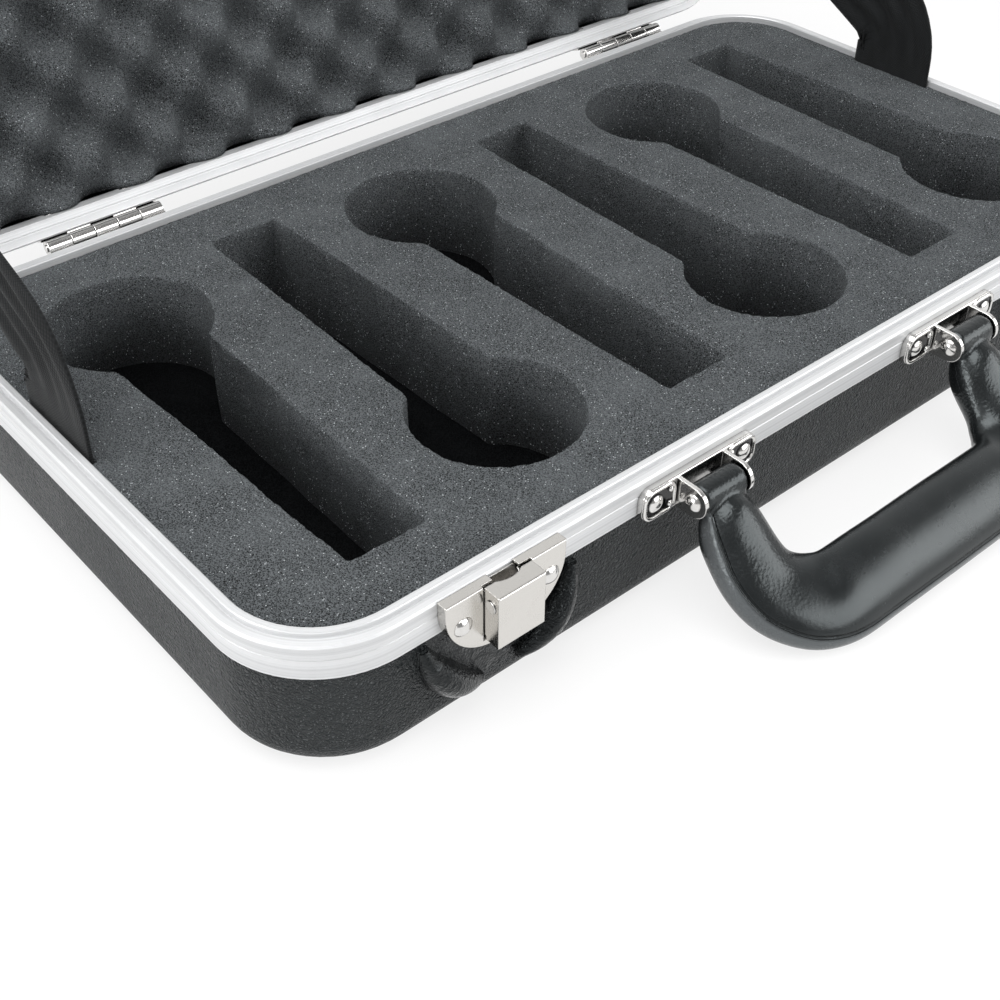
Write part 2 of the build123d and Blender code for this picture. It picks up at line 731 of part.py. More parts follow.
stay_stack = stay_gap + stay_thickness
for side in (-1, 1):
    for offset_y in (-stay_rivet_spacing / 2, stay_rivet_spacing / 2):
        for z, rivets, washers, holes in (
            (stay_rivet_z, base_stay_rivets, base_washers, base_holes),
            (lid_stay_rivet_z, lid_stay_rivets, lid_washers, lid_holes),
        ):
            y = stay_y + offset_y
            place = side_frame(side, y, z)
            top = place.offset(stay_stack + stay_washer_thickness)
            grip = stay_stack + stay_washer_thickness + channel_end - wall / 2
            rivets.append(rivet(top, grip, small_head_radius, small_head_height))
            washer = Cylinder(stay_washer_radius, stay_washer_thickness)
            washer -= Cylinder(rivet_shank_radius, 2 * stay_washer_thickness)
            washers.append(place.offset(stay_stack + stay_washer_thickness / 2) * washer)
            holes.append(hole(place, channel_end - wall / 4, drill))

base_shell = shell(seam, foam_top - channel_roof - channel_clearance)
lid_shell = shell(lid_depth, lid_depth - shoulder_height - channel_roof - channel_clearance)
lid_shell = Pos(0, 0, lid_top) * mirror(lid_shell, Plane.XY)
base_edging = edging(base_edging_section())
lid_edging = edging(lid_edging_section())
for cutter in base_holes:
    base_shell -= cutter
    base_edging -= cutter
for cutter in lid_holes:
    lid_shell -= cutter
    lid_edging -= cutter
keep("base_shell", base_shell)
keep("base_edging", base_edging)
keep("lid_shell", opened(lid_shell))
keep("lid_edging", opened(lid_edging))

foam = ring(-foam_gap, foam_floor, foam_top)
for index in range(slot_count):
    foam -= microphone_slot(index)
lid_foam_face = lid_seam + lid_foam_below_seam
lid_foam = ring(-foam_gap, floor_thickness, lid_top - lid_foam_face)
lid_foam = soften(lid_foam, floor_thickness, lid_foam_radius)
lid_foam = Pos(0, 0, lid_top) * mirror(lid_foam, Plane.XY)
pocket_depth = stay_stack + stay_washer_thickness + small_head_height + foam_gap
slit_depth = stay_stack + foam_gap
for side in (-1, 1):
    low, high = foam_top - stay_tail - foam_gap, foam_top - slit_height
    foam -= stay_relief(0, pocket_depth, low, high, side, stay_y)
    foam -= stay_relief(0, slit_depth, high, seam, side, stay_y)
    high = lid_seam + stay_tail + foam_gap
    for offset_y in (-stay_lid_slack, 0, stay_lid_slack):
        lid_foam -= stay_relief(0, pocket_depth, lid_seam, high, side, stay_y + offset_y)
keep("slotted_foam", foam)
keep("floor_foam", soften(ring(-foam_gap, floor_thickness, foam_floor), floor_thickness,
                          floor_foam_radius))
keep("lid_foam", opened(lid_foam))

for hand, side in (("left", -1), ("right", 1)):
    stay = fabric_stay(side)
    for offset_y in (-stay_rivet_spacing / 2, stay_rivet_spacing / 2):
        y = stay_y + offset_y
        eyelet = rivet_shank_radius + stay_hole_clearance
        stay -= hole(side_frame(side, y, stay_rivet_z), wall, eyelet)
        stay -= opened(hole(side_frame(side, y, lid_stay_rivet_z), wall, eyelet))
    keep(f"lid_stay_{hand}", stay)

keep("handle_grip", handle_grip())
keep("handle_pins", group(handle_pins))
keep("handle_bracket_rivets", group(bracket_rivets))
keep("latch_pins", group(latch_pins))
keep("latch_rivets", group(latch_rivets))
keep("strike_rivets", group(opened(rivet) for rivet in strike_rivets))
keep("hinge_pins", group(hinge_pins))
keep("hinge_base_rivets", group(base_hinge_rivets))
keep("hinge_lid_rivets", group(opened(rivet) for rivet in lid_hinge_rivets))
keep("base_stay_rivets", group(base_stay_rivets))
keep("lid_stay_rivets", group(opened(rivet) for rivet in lid_stay_rivets))
keep("base_stay_washers", group(base_washers))
keep("lid_stay_washers", group(opened(washer) for washer in lid_washers))

os.makedirs("parts", exist_ok=True)
for name, shape in parts.items():
    export_step(shape, f"parts/{name}.step")
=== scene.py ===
import bmesh
import bpy
import json
import math
from mathutils import Matrix, Vector, noise


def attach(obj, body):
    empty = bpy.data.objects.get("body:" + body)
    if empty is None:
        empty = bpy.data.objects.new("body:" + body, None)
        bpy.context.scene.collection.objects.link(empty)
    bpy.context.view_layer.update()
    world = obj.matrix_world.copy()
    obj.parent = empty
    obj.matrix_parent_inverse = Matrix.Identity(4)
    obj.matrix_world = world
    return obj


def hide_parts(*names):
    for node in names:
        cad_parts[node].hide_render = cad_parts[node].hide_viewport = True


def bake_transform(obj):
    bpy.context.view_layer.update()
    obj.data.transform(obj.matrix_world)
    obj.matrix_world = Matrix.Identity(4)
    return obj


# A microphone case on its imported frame, in metres: +X along the front, -Y the handle's side, +Z up.
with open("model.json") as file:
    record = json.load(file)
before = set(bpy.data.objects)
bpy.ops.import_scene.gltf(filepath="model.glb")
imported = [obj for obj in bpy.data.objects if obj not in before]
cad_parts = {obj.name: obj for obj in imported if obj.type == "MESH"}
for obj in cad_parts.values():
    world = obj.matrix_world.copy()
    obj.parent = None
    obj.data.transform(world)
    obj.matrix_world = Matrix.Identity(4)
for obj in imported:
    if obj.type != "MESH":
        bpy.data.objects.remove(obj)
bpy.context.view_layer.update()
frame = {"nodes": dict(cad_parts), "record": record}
nodes = frame["nodes"]
print("stage: frame loaded")

hinge = Vector((0, 0.1155, 0.04905))
openAngle = math.radians(110)
toOpen = Matrix.Translation(hinge) @ Matrix.Rotation(-openAngle, 4, "X") @ Matrix.Translation(-hinge)
toClosed = toOpen.inverted()


# ---- small helpers for materials
def makeNode(tree, kind, wires=None, **settings):
    made = tree.nodes.new(kind)
    for name, value in settings.items():
        setattr(made, name, value)
    for key, value in (wires or {}).items():
        if isinstance(value, bpy.types.NodeSocket):
            tree.links.new(value, made.inputs[key])
        else:
            made.inputs[key].default_value = value
    return made


def startMaterial(name, settings):
    material = bpy.data.materials.new(name)
    material.use_nodes = True
    tree = material.node_tree
    shader = tree.nodes["Principled BSDF"]
    for key, value in settings.items():
        shader.inputs[key].default_value = value
    place = makeNode(tree, "ShaderNodeTexCoord").outputs["Object"]
    return material, tree, shader, place


def calc(tree, operation, first, second=0.0):
    return makeNode(tree, "ShaderNodeMath", {0: first, 1: second}, operation=operation).outputs[0]


def fade(tree, value, low, high, start=0.0, end=1.0):
    wires = {"Value": value, "From Min": low, "From Max": high, "To Min": start, "To Max": end}
    return makeNode(
        tree, "ShaderNodeMapRange", wires, interpolation_type="SMOOTHSTEP"
    ).outputs[0]


def mixColour(tree, share, first, second):
    made = makeNode(tree, "ShaderNodeMix", {0: share, 6: first, 7: second}, data_type="RGBA")
    return made.outputs[2]


def grainNoise(tree, place, scale, detail=2.0, roughness=0.5, distortion=0.0):
    wires = {"Vector": place, "Scale": scale, "Detail": detail, "Roughness": roughness,
             "Distortion": distortion}
    return makeNode(tree, "ShaderNodeTexNoise", wires).outputs[0]


def cells(tree, place, scale, feature="F1", randomness=1.0):
    wires = {"Vector": place, "Scale": scale, "Randomness": randomness}
    return makeNode(tree, "ShaderNodeTexVoronoi", wires, feature=feature)


def relief(tree, height, distance, strength=1.0, below=None):
    wires = {"Height": height, "Distance": distance, "Strength": strength}
    if below is not None:
        wires["Normal"] = below
    return makeNode(tree, "ShaderNodeBump", wires).outputs[0]


def warped(tree, place, scale, amount):
    wobble = makeNode(tree, "ShaderNodeTexNoise", {"Vector": place, "Scale": scale, "Detail": 2.0})
    centred = makeNode(
        tree, "ShaderNodeVectorMath", {0: wobble.outputs["Color"], 1: (0.5, 0.5, 0.5)},
        operation="SUBTRACT",
    ).outputs[0]
    moved = makeNode(
        tree, "ShaderNodeVectorMath", {0: centred, 3: amount}, operation="SCALE"
    ).outputs[0]
    return makeNode(
        tree, "ShaderNodeVectorMath", {0: place, 1: moved}, operation="ADD"
    ).outputs[0]


def closedPlace(tree, place):
    # turns the open lid's coordinates back to where they are with the lid shut
    shift = hinge - Matrix.Rotation(openAngle, 3, "X") @ hinge
    wires = {"Vector": place, "Location": shift, "Rotation": (openAngle, 0, 0)}
    return makeNode(tree, "ShaderNodeMapping", wires, vector_type="POINT").outputs[0]


def split(tree, place):
    return makeNode(tree, "ShaderNodeSeparateXYZ", {0: place}).outputs


def join(tree, x, y, z):
    return makeNode(tree, "ShaderNodeCombineXYZ", {0: x, 1: y, 2: z}).outputs[0]


# ---- moulded shells: fine leather grain with painted glints on its pebble tips, glossier and drawn tight round the latches, near black there with painted shade in the pocket round each latch
shellFinish = {
    "colour": (0.0135, 0.0165, 0.0180, 1),
    "worn": (0.040, 0.043, 0.045, 1),
    # pale colour painted on the pebble tips as glints of the grain
    "glintTip": (0.19, 0.20, 0.205, 1),
    "grain": 1250.0,
    "grainDepth": 0.0055,
    "latchX": 0.138,
    "latchZ": 0.043,
    "wallY": -0.112,
}


def makeShell(name, onLid):
    material, tree, shader, place = startMaterial(
        name, {"Specular IOR Level": 0.28, "Specular Tint": (0.90, 0.98, 1.0, 1)}
    )
    spot = closedPlace(tree, place) if onLid else place
    x, y, z = split(tree, spot)
    if onLid:
        z = calc(tree, "SUBTRACT", 0.0981, z)
    swirl = warped(tree, spot, 180, 0.004)
    pebbles = cells(tree, swirl, shellFinish["grain"]).outputs["Distance"]
    creases = grainNoise(tree, swirl, 620, 3, 0.62, 1.2)
    grain = calc(tree, "ADD", calc(tree, "MULTIPLY", pebbles, 0.7), creases)
    alongX = calc(tree, "SUBTRACT", calc(tree, "ABSOLUTE", x), shellFinish["latchX"])
    alongZ = calc(tree, "SUBTRACT", z, shellFinish["latchZ"])
    ring = calc(
        tree, "ADD",
        calc(tree, "POWER", calc(tree, "ABSOLUTE", calc(tree, "DIVIDE", alongX, 0.0265)), 2),
        calc(tree, "POWER", calc(tree, "ABSOLUTE", calc(tree, "DIVIDE", alongZ, 0.032)), 2),
    )
    ring = calc(tree, "ADD", ring, calc(tree, "MULTIPLY", creases, 0.25))
    frontOnly = fade(tree, y, shellFinish["wallY"] + 0.008, shellFinish["wallY"] + 0.004)
    pocket = calc(tree, "MULTIPLY", fade(tree, ring, 1.35, 1.0), frontOnly)
    swell = fade(tree, y, shellFinish["wallY"] - 0.0002, shellFinish["wallY"] - 0.0012)
    glossAndShade = calc(tree, "MAXIMUM", pocket, swell)
    drawn = grainNoise(tree, warped(tree, spot, 70, 0.006), 170, 3, 0.55, 0.5)
    matt = calc(tree, "SUBTRACT", 1.0, calc(tree, "MULTIPLY", glossAndShade, 0.82))
    fine = relief(tree, grain, shellFinish["grainDepth"], matt)
    wide = relief(tree, drawn, 0.0010, calc(tree, "MULTIPLY", glossAndShade, 0.9), fine)
    blotch = grainNoise(tree, spot, 28, 3, 0.6)
    pale = calc(tree, "MULTIPLY", fade(tree, blotch, 0.42, 0.75), 0.35)
    pale = calc(tree, "ADD", pale, fade(tree, grain, 0.75, 1.1, 0.0, 0.5))
    colour = mixColour(tree, pale, shellFinish["colour"], shellFinish["worn"])
    # painted highlights: the pebble tips are lightened towards a pale grey as glints of the grain
    glintTips = calc(tree, "MULTIPLY", fade(tree, pebbles, 0.38, 0.10), fade(tree, creases, 0.30, 0.56))
    colour = mixColour(tree, calc(tree, "MULTIPLY", glintTips, 0.9), colour, shellFinish["glintTip"])
    # near black where glossy: the drawn plastic's own darker tone on the bumpers, and painted shade in the
    # pocket round each latch
    colour = mixColour(tree, calc(tree, "MULTIPLY", glossAndShade, 0.97), colour, (0.003, 0.0033, 0.0036, 1))
    rough = fade(tree, blotch, 0.3, 0.7, 0.31, 0.40)
    rough = calc(tree, "SUBTRACT", rough, calc(tree, "MULTIPLY", glossAndShade, 0.23))
    tree.links.new(colour, shader.inputs["Base Color"])
    tree.links.new(rough, shader.inputs["Roughness"])
    tree.links.new(wide, shader.inputs["Normal"])
    return material


# ---- extruded aluminium edging: fine lines that run round with the section
edgingFinish = {
    "colour": (0.64, 0.645, 0.653, 1),
    "line": (0.36, 0.366, 0.373, 1),
    "halfX": 0.2,
    "halfY": 0.106,
    "corner": 0.0284,
}


def makeEdging(name, onLid):
    material, tree, shader, place = startMaterial(name, {"Metallic": 0.3})
    spot = closedPlace(tree, place) if onLid else place
    x, y, z = split(tree, spot)
    corner = edgingFinish["corner"]
    overX = calc(tree, "SUBTRACT", calc(tree, "ABSOLUTE", x), edgingFinish["halfX"] - corner)
    overY = calc(tree, "SUBTRACT", calc(tree, "ABSOLUTE", y), edgingFinish["halfY"] - corner)
    reach = makeNode(
        tree, "ShaderNodeVectorMath",
        {0: join(tree, calc(tree, "MAXIMUM", overX, 0), calc(tree, "MAXIMUM", overY, 0), 0.0)},
        operation="LENGTH",
    ).outputs["Value"]
    section = join(tree, reach, z, 0.0)
    lines = grainNoise(tree, section, 2600, 4, 0.7)
    bands = grainNoise(tree, section, 620, 2, 0.5)
    cloud = grainNoise(tree, spot, 60, 3, 0.6)
    share = calc(tree, "MULTIPLY", fade(tree, lines, 0.45, 0.72), 0.4)
    share = calc(tree, "ADD", share, calc(tree, "MULTIPLY", fade(tree, bands, 0.4, 0.7), 0.3))
    colour = mixColour(tree, share, edgingFinish["colour"], edgingFinish["line"])
    rough = calc(tree, "ADD", fade(tree, lines, 0.3, 0.7, 0.34, 0.46),
                 fade(tree, cloud, 0.35, 0.7, -0.03, 0.04))
    height = calc(tree, "ADD", lines, calc(tree, "MULTIPLY", bands, 1.5))
    tree.links.new(colour, shader.inputs["Base Color"])
    tree.links.new(rough, shader.inputs["Roughness"])
    tree.links.new(relief(tree, height, 0.00006, 0.8), shader.inputs["Normal"])
    return material


# ---- open-cell foam with bright specks that are painted glints
foamFinish = {
    "colour": (0.126, 0.136, 0.143, 1),
    # the floor pad's colour, far darker than the slotted foam: painted shade for the bottoms of the slots
    "floorShade": (0.020, 0.0215, 0.023, 1),
    # heights over which the foam darkens towards the bottom of the cut-outs: painted shade
    "low": (0.010, 0.040),
    "pitAndShade": 0.06,
    "glintSpeck": (0.62, 0.65, 0.67, 1),
    "cell": 1750.0,
    "speckCell": 2100.0,
}


def makeFoam(name, colour, depth=0.0006, sparkle=1.0):
    material, tree, shader, place = startMaterial(
        name, {"Roughness": 0.95, "Specular IOR Level": 0.12 * sparkle}
    )
    uneven = warped(tree, place, 700, 0.0006)
    web = cells(tree, uneven, foamFinish["cell"])
    fine = cells(tree, uneven, foamFinish["cell"] * 2.1)
    patch = grainNoise(tree, place, 45, 3, 0.6)
    pits = calc(tree, "MULTIPLY", web.outputs["Distance"], fine.outputs["Distance"])
    share = fade(tree, pits, 0.09, 0.33)
    pitAndShade = tuple(c * foamFinish["pitAndShade"] for c in colour[:3]) + (1,)
    pale = tuple(c * 1.25 for c in colour[:3]) + (1,)
    base = mixColour(tree, share, pitAndShade, colour)
    base = mixColour(tree, fade(tree, patch, 0.35, 0.75, 0.0, 0.3), base, pale)
    height = split(tree, place)[2]
    low, high = foamFinish["low"]
    # painted shade: the foam's colour darkens towards the bottom of the cut-outs, down to the pit colour
    base = mixColour(tree, fade(tree, height, low, high, 0.72, 0.0), base, pitAndShade)
    glints = cells(tree, uneven, foamFinish["speckCell"])
    chance = split(tree, glints.outputs["Color"])[0]
    spark = calc(tree, "MULTIPLY", fade(tree, chance, 0.945, 0.970),
                 fade(tree, glints.outputs["Distance"], 0.45, 0.25))
    spark = calc(tree, "MULTIPLY", spark, sparkle)
    # painted highlights: scattered cells are coloured near white as glints
    colour = mixColour(tree, spark, base, foamFinish["glintSpeck"])
    height = calc(tree, "ADD", web.outputs["Distance"],
                  calc(tree, "MULTIPLY", fine.outputs["Distance"], 0.6))
    tree.links.new(colour, shader.inputs["Base Color"])
    tree.links.new(relief(tree, height, depth, 0.9), shader.inputs["Normal"])
    return material


# ---- warm satin nickel of the latches, bright nickel of brackets, rivets and hinges
def makeNickel(name, colour, dull, roughness, wear, shadeReach, pressed=False):
    material, tree, shader, place = startMaterial(name, {"Metallic": 1.0})
    x, y, z = split(tree, place)
    stretched = join(tree, calc(tree, "MULTIPLY", x, 1.0), y, calc(tree, "MULTIPLY", z, 0.04))
    brushed = grainNoise(tree, stretched, 2400, 3, 0.6)
    cloud = grainNoise(tree, place, 130, 4, 0.62, 0.6)
    spots = grainNoise(tree, place, 900, 2, 0.5)
    share = calc(tree, "MULTIPLY", fade(tree, cloud, 0.42, 0.72), wear)
    share = calc(tree, "ADD", share, fade(tree, spots, 0.66, 0.8, 0.0, wear * 0.5))
    rough = calc(tree, "ADD", fade(tree, cloud, 0.3, 0.72, roughness, roughness + 0.07),
                 fade(tree, brushed, 0.3, 0.7, -0.02, 0.03))
    rounded = makeNode(tree, "ShaderNodeBevel", {"Radius": 0.00045}, samples=6).outputs[0]
    aoShade = makeNode(
        tree, "ShaderNodeAmbientOcclusion", {"Distance": shadeReach}, samples=12
    ).outputs["AO"]
    finished = mixColour(tree, share, colour, dull)
    # painted shade: ambient occlusion darkens the colour in creases, round rivets and between parts
    finished = mixColour(tree, fade(tree, aoShade, 0.80, 0.25, 0.0, 0.85), finished, (0.05, 0.05, 0.05, 1))
    if pressed:
        # the brackets' pressed recesses are painted dark
        fromLeg = calc(tree, "ABSOLUTE", calc(tree, "SUBTRACT", calc(tree, "ABSOLUTE", x), 0.0615))
        alongX = calc(tree, "ABSOLUTE", calc(tree, "SUBTRACT", fromLeg, 0.0172))
        alongZ = calc(tree, "ABSOLUTE", calc(tree, "SUBTRACT", z, 0.0406))
        inside = calc(tree, "MULTIPLY", fade(tree, alongX, 0.0056, 0.0048), fade(tree, alongZ, 0.0046, 0.0038))
        flat = fade(tree, y, -0.1153, -0.1149)
        finished = mixColour(tree, calc(tree, "MULTIPLY", inside, flat), finished, (0.07, 0.07, 0.072, 1))
    tree.links.new(finished, shader.inputs["Base Color"])
    tree.links.new(rough, shader.inputs["Roughness"])
    tree.links.new(relief(tree, brushed, 0.00003, 0.2, rounded), shader.inputs["Normal"])
    return material


materials = {
    "shell": makeShell("grainedShell", False),
    "lidShell": makeShell("grainedLidShell", True),
    "edging": makeEdging("satinAluminium", False),
    "lidEdging": makeEdging("satinLidAluminium", True),
    "foam": makeFoam("openCellFoam", foamFinish["colour"]),
    "shadedFloorFoam": makeFoam("paintedShadeFloorFoam", foamFinish["floorShade"], sparkle=0.0),
    "plate": makeNickel(
        "satinNickel", (0.67, 0.652, 0.622, 1), (0.62, 0.60, 0.568, 1), 0.20, 0.2, 0.0012
    ),
    "bright": makeNickel(
        "brightNickel", (0.74, 0.73, 0.715, 1), (0.56, 0.545, 0.52, 1), 0.10, 0.3, 0.003, True
    ),
}


# ---- moulded grip: leather texture near its ends, fine cross wrinkles, a parting groove
gripShape = {
    "pin": Vector((0, -0.1215, 0.0406)),
    "droop": math.radians(37.6),
    "spread": 0.0615,
    "start": 0.0015,
    "reach": 0.0461,
    "bend": 0.0224,
    "sections": [
        (0.0, 8.3, 4.6, 0.0), (7.0, 8.3, 7.2, 2.9), (14.0, 10.8, 9.2, 4.6),
        (24.0, 12.2, 8.6, 5.8), (36.0, 13.9, 8.1, 5.8), (47.0, 14.7, 7.8, 4.2),
        (58.0, 14.4, 7.6, 1.9), (75.0, 14.4, 7.6, 1.0), (101.0, 14.5, 7.6, 1.0),
    ],
    "voxel": 0.0008,
    "groove": 32.0,
    "lip": 0.0005,
}


def makeGrip():
    material, tree, shader, place = startMaterial(
        "mouldedGrip", {"Specular IOR Level": 0.54, "Specular Tint": (0.90, 0.98, 1.0, 1)}
    )
    along = makeNode(tree, "ShaderNodeAttribute", attribute_name="along").outputs["Fac"]
    around = makeNode(tree, "ShaderNodeAttribute", attribute_name="around").outputs["Fac"]
    leather = cells(tree, warped(tree, place, 220, 0.003), 900).outputs["Distance"]
    creased = grainNoise(tree, warped(tree, place, 120, 0.004), 420, 4, 0.62, 1.0)
    surface = join(tree, calc(tree, "MULTIPLY", along, 1.0),
                   calc(tree, "MULTIPLY", around, 0.004), 0.0)
    cross = grainNoise(tree, surface, 420, 3, 0.55, 0.5)
    nearEnds = fade(tree, along, 0.055, 0.022)
    strength = calc(tree, "ADD", 0.03, calc(tree, "MULTIPLY", nearEnds, 0.2))
    coarse = relief(tree, calc(tree, "ADD", leather, creased), 0.0003, strength)
    middle = calc(tree, "MULTIPLY", fade(tree, along, 0.05, 0.07), 0.07)
    ripples = relief(tree, cross, 0.0009, middle, coarse)
    off = calc(tree, "ABSOLUTE", calc(tree, "SUBTRACT", around, gripShape["groove"]))
    started = fade(tree, along, 0.004, 0.010)
    groove = calc(tree, "MULTIPLY", fade(tree, off, 4.5, 1.0), started)
    cut = relief(tree, calc(tree, "MULTIPLY", groove, -1.0), 0.0006, 1.0, ripples)
    blotch = grainNoise(tree, place, 70, 4, 0.65, 0.4)
    colour = mixColour(tree, fade(tree, blotch, 0.4, 0.75), (0.006, 0.0068, 0.0072, 1),
                       (0.0085, 0.0094, 0.01, 1))
    # painted reflection: the band below the parting groove is coloured lighter than the grip, as the floor's
    # light caught on the lip
    below = calc(tree, "MULTIPLY", fade(tree, around, gripShape["groove"] - 2, gripShape["groove"] - 8), started)
    below = calc(tree, "MULTIPLY", below, fade(tree, around, -20, 4))
    colour = mixColour(tree, below, colour, (0.070, 0.075, 0.078, 1))
    # painted shade: the parting groove's line is coloured near black
    colour = mixColour(tree, groove, colour, (0.002, 0.0023, 0.0026, 1))
    rough = calc(tree, "ADD", fade(tree, blotch, 0.35, 0.7, 0.24, 0.28),
                 fade(tree, creased, 0.4, 0.7, -0.01, 0.02))
    tree.links.new(colour, shader.inputs["Base Color"])
    tree.links.new(rough, shader.inputs["Roughness"])
    tree.links.new(cut, shader.inputs["Normal"])
    return material


materials["grip"] = makeGrip()


# ---- woven cloth of the stays
def makeCloth():
    material, tree, shader, place = startMaterial(
        "wovenStay", {"Roughness": 0.82, "Specular IOR Level": 0.2, "Sheen Weight": 0.06}
    )
    uv = makeNode(tree, "ShaderNodeTexCoord").outputs["UV"]
    across, along, ignored = split(tree, uv)
    warp = calc(tree, "SINE", calc(tree, "MULTIPLY", across, 2 * math.pi / 0.0011))
    weft = calc(tree, "SINE", calc(tree, "MULTIPLY", along, 2 * math.pi / 0.0009))
    weave = calc(tree, "MULTIPLY", warp, weft)
    fuzz = grainNoise(tree, place, 1500, 3, 0.6)
    cloud = grainNoise(tree, join(tree, calc(tree, "MULTIPLY", across, 4.0), along, 0.0), 60, 3)
    share = calc(tree, "ADD", fade(tree, weave, -1, 1, 0.0, 0.5), fade(tree, cloud, 0.3, 0.7, 0, 0.5))
    colour = mixColour(tree, share, (0.003, 0.0034, 0.0037, 1), (0.011, 0.0124, 0.0134, 1))
    height = calc(tree, "ADD", weave, fuzz)
    tree.links.new(colour, shader.inputs["Base Color"])
    tree.links.new(relief(tree, height, 0.00012, 0.7), shader.inputs["Normal"])
    return material


materials["cloth"] = makeCloth()
print("stage: materials made")


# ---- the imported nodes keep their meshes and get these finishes
for row in frame["record"]["subparts"]:
    finish = row["material_slot"]
    if row["node"] == "lid_shell":
        finish = "lidShell"
    if row["node"] == "lid_edging":
        finish = "lidEdging"
    for slot in nodes[row["node"]].material_slots:
        slot.material = materials[finish]
print("stage: packed nodes finished")


# ---- mesh helpers
def nodeMesh(node, turn=None):
    bm = bmesh.new()
    bm.from_mesh(nodes[node].data)
    if turn is not None:
        bm.transform(turn)
    bmesh.ops.remove_doubles(bm, verts=bm.verts, dist=1e-6)
    bmesh.ops.dissolve_limit(bm, angle_limit=0.002, verts=bm.verts, edges=bm.edges)
    return bm


def keepFaces(bm, test):
    bmesh.ops.delete(bm, geom=[f for f in bm.faces if not test(f)], context="FACES")


def divide(bm, edges, step):
    groups = {}
    for edge in edges:
        groups.setdefault(int(edge.calc_length() / step), []).append(edge)
    for cuts, members in groups.items():
        if cuts:
            bmesh.ops.bisect_edges(bm, edges=members, cuts=cuts)


def slice(bm, axis, places):
    normal = Vector([1.0 if i == axis else 0.0 for i in range(3)])
    for place in places:
        everything = bm.verts[:] + bm.edges[:] + bm.faces[:]
        bmesh.ops.bisect_plane(bm, geom=everything, plane_co=normal * place, plane_no=normal)


def steps(low, high, step):
    count = max(1, round((high - low) / step))
    return [low + (high - low) * i / count for i in range(1, count)]


def finishPiece(bm, name, finish, body):
    mesh = bpy.data.meshes.new(name)
    bm.to_mesh(mesh)
    bm.free()
    piece = bpy.data.objects.new(name, mesh)
    bpy.context.scene.collection.objects.link(piece)
    mesh.materials.append(materials[finish])
    if body:
        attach(piece, body)
    return piece


# ---- slotted foam: its cut edges are slightly torn and rounded
slottedFoam = {
    "top": 0.048,
    "thickness": 0.036,
    "step": 0.0013,
    "rows": (0.0476, 0.0469, 0.0455, 0.042, 0.036, 0.028, 0.020),
    "rounding": 0.00035,
    "torn": 0.00032,
    "wavy": 0.0005,
}


def makeSlottedFoam():
    top = slottedFoam["top"]
    bm = nodeMesh("slotted_foam")
    keepFaces(bm, lambda f: f.normal.z > 0.99 and f.calc_center_median().z > top - 1e-4)
    divide(bm, [e for e in bm.edges if e.is_boundary], slottedFoam["step"])
    made = bmesh.ops.extrude_face_region(bm, geom=bm.faces[:])["geom"]
    lower = [g for g in made if isinstance(g, bmesh.types.BMVert)]
    bmesh.ops.translate(bm, vec=(0, 0, -slottedFoam["thickness"]), verts=lower)
    slice(bm, 2, slottedFoam["rows"])
    bmesh.ops.recalc_face_normals(bm, faces=bm.faces)
    bm.normal_update()
    for vert in bm.verts:
        flat = Vector((vert.normal.x, vert.normal.y, 0))
        if flat.length < 0.05:
            continue
        flat.normalize()
        spot = vert.co
        outer = abs(spot.x) > 0.1985 or abs(spot.y) > 0.1045
        outer = outer or Vector((abs(spot.x) - 0.1716, abs(spot.y) - 0.0776)).length > 0.027 \
            and abs(spot.x) > 0.1716 and abs(spot.y) > 0.0776
        rim = max(0.0, 1 - (top - spot.z) / 0.0012)
        moved = slottedFoam["torn"] * noise.noise(spot * 700) * (0.5 + rim)
        moved += slottedFoam["wavy"] * noise.noise(spot * 55)
        moved -= slottedFoam["rounding"] * rim
        if outer:
            moved = -abs(moved) * 0.6
        drop = slottedFoam["rounding"] * 0.6 if spot.z > top - 1e-5 else 0.0
        vert.co = spot + flat * moved - Vector((0, 0, drop * (1 + noise.noise(spot * 500))))
    for face in bm.faces:
        face.smooth = abs(face.normal.z) < 0.9
    piece = finishPiece(bm, "slottedFoam", "foam", "base")
    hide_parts("slotted_foam")
    return piece


# ---- plain pad under it, in a far darker foam colour: painted shade for the bottoms of the slots
def makeFloorFoam():
    bm = nodeMesh("floor_foam")
    slice(bm, 0, steps(-0.199, 0.199, 0.006))
    slice(bm, 1, steps(-0.105, 0.105, 0.006))
    for vert in bm.verts:
        if vert.co.z > 0.0119:
            vert.co.z -= 0.0005 * abs(noise.noise(vert.co * 90)) + 0.00005
    for face in bm.faces:
        face.smooth = True
    piece = finishPiece(bm, "floorFoam", "shadedFloorFoam", "base")
    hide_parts("floor_foam")
    return piece


# ---- the lid's foam has an egg-crate face, made with the lid shut and then turned open
lidFoam = {
    "face": 0.0521,
    "back": 0.0901,
    "pitch": 0.031,
    "depth": 0.015,
    "grid": 0.0026,
    "edge": 0.005,
}


